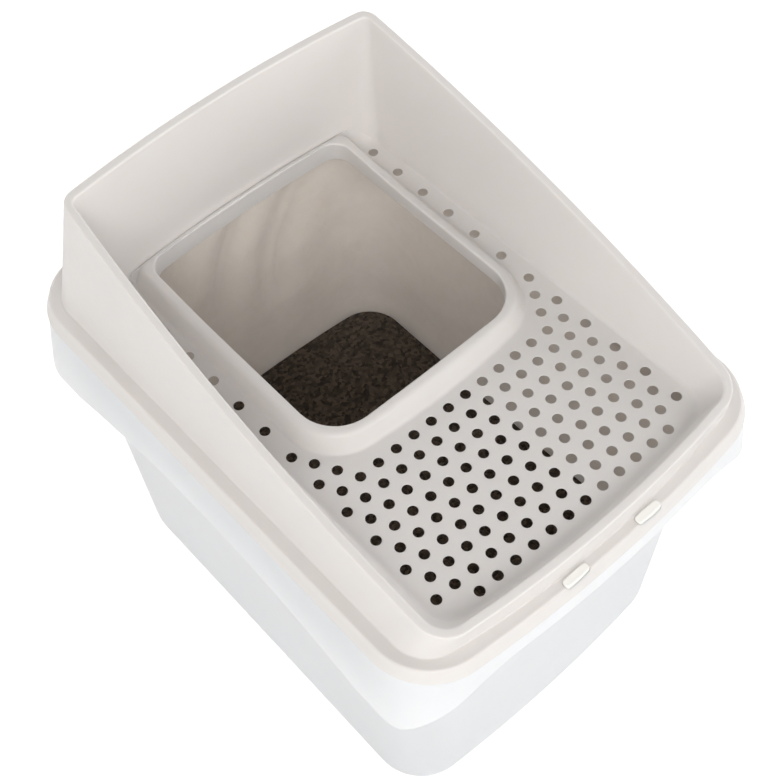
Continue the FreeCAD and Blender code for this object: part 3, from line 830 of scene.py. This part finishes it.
# %% Floor
FLOOR_HALF, FLOOR_BELOW = 4.0, 0.0005
NEAR_M, FAR_M, NEAR_WHITE, FAR_WHITE = 0.7, 1.8, 0.6, 1.0


def seen_directly(tree):
    """One for what the camera sees, straight, mirrored or refracted, else nought."""
    path = node(tree, "ShaderNodeLightPath")
    seen = path.outputs["Is Camera Ray"]
    for ray in ("Is Glossy Ray", "Is Transmission Ray"):
        either = {"operation": "MAXIMUM"}
        seen = node(tree, "ShaderNodeMath", either, _0=seen, _1=path.outputs[ray]).outputs[0]
    return seen


floor_mesh = bpy.data.meshes.new("floor")
floor_corners = [(FLOOR_HALF * x, FLOOR_HALF * y, 0) for x, y in ((-1, -1), (1, -1), (1, 1), (-1, 1))]
floor_mesh.from_pydata(floor_corners, [], [(0, 1, 2, 3)])
floor = bpy.data.objects.new("floor", floor_mesh)
floor.location.z = -FLOOR_BELOW
bpy.context.scene.collection.objects.link(floor)
pale_floor, tree, output = start_material("pale_floor")
direct = seen_directly(tree)
matt = node(tree, "ShaderNodeBsdfDiffuse", Color=paint("#DCDCDC"))
away = node(
    tree, "ShaderNodeVectorMath", {"operation": "LENGTH"},
    _0=node(tree, "ShaderNodeTexCoord").outputs["Object"],
)
lift = node(
    tree, "ShaderNodeMapRange",
    Value=away.outputs["Value"], From_Min=NEAR_M, From_Max=FAR_M, To_Min=NEAR_WHITE, To_Max=FAR_WHITE,
)
white = node(tree, "ShaderNodeEmission", Color=(1, 1, 1, 1), Strength=lift.outputs["Result"])
both = node(tree, "ShaderNodeAddShader", _0=matt.outputs[0], _1=white.outputs[0])
mixed = node(tree, "ShaderNodeMixShader", _0=direct, _1=matt.outputs[0], _2=both.outputs[0])
tree.links.new(mixed.outputs[0], output.inputs["Surface"])
floor_mesh.materials.append(pale_floor)

# %% World
HORIZON, ZENITH, ZENITH_FROM = 1.58, 0.12, 0.8
world = bpy.data.worlds.new("studio")
bpy.context.scene.world = world
world.use_nodes = True
tree = world.node_tree
tree.nodes.clear()
output = node(tree, "ShaderNodeOutputWorld")
seen = seen_directly(tree)
aim = node(tree, "ShaderNodeSeparateXYZ", Vector=node(tree, "ShaderNodeTexCoord").outputs["Generated"])
fall = node(
    tree, "ShaderNodeMapRange",
    Value=aim.outputs["Z"], From_Min=0.0, From_Max=ZENITH_FROM, To_Min=HORIZON, To_Max=ZENITH,
)
soft_sky = node(tree, "ShaderNodeBackground", Color=paint("#FBFAF8"), Strength=fall.outputs["Result"])
backdrop = node(tree, "ShaderNodeBackground", Color=(1, 1, 1, 1), Strength=1.0)
mixed = node(tree, "ShaderNodeMixShader", _0=seen, _1=soft_sky.outputs[0], _2=backdrop.outputs[0])
tree.links.new(mixed.outputs[0], output.inputs["Surface"])

# %% Lamps
LAMP_AIM, LAMP_SIZE = Vector((0, 0, 0.3)), 1.4


def soft_lamp(name, place, power, tint="#FFFFFF"):
    """Square area lamp that looks from a place to the middle of the box."""
    data = bpy.data.lights.new(name, "AREA")
    data.shape, data.size, data.energy, data.color = "SQUARE", LAMP_SIZE, power, paint(tint)[:3]
    lamp = bpy.data.objects.new(name, data)
    lamp.location = place
    lamp.rotation_mode = "QUATERNION"
    lamp.rotation_quaternion = (LAMP_AIM - Vector(place)).to_track_quat("-Z", "Y")
    bpy.context.scene.collection.objects.link(lamp)


soft_lamp("key_front_left", (-1.12, -1.68, 2.0), 35)
soft_lamp("fill_right", (2.2, -0.5, 1.2), 14, "#F6F9FF")
soft_lamp("fill_back", (0.6, 2.3, 1.2), 14)

# %% Camera
camera_data = bpy.data.cameras.new("camera")
camera_data.lens, camera_data.sensor_width = 64.67, 36.0
camera = bpy.data.objects.new("camera", camera_data)
right = Vector((0.74287888, -0.6689114, -0.02623946))
upward = Vector((0.56611693, 0.60683223, 0.55791242))
back = Vector((-0.35727102, -0.42931595, 0.82948492))
turned = Matrix((right, upward, back)).transposed().to_4x4()
camera.matrix_world = Matrix.Translation((-0.429478, -0.520658, 1.272588)) @ turned
camera_data.clip_start, camera_data.clip_end = 0.05, 50
bpy.context.scene.collection.objects.link(camera)
bpy.context.scene.camera = camera
bpy.context.scene.view_settings.view_transform = "Standard"
print("camera at", [round(v, 3) for v in camera.location])
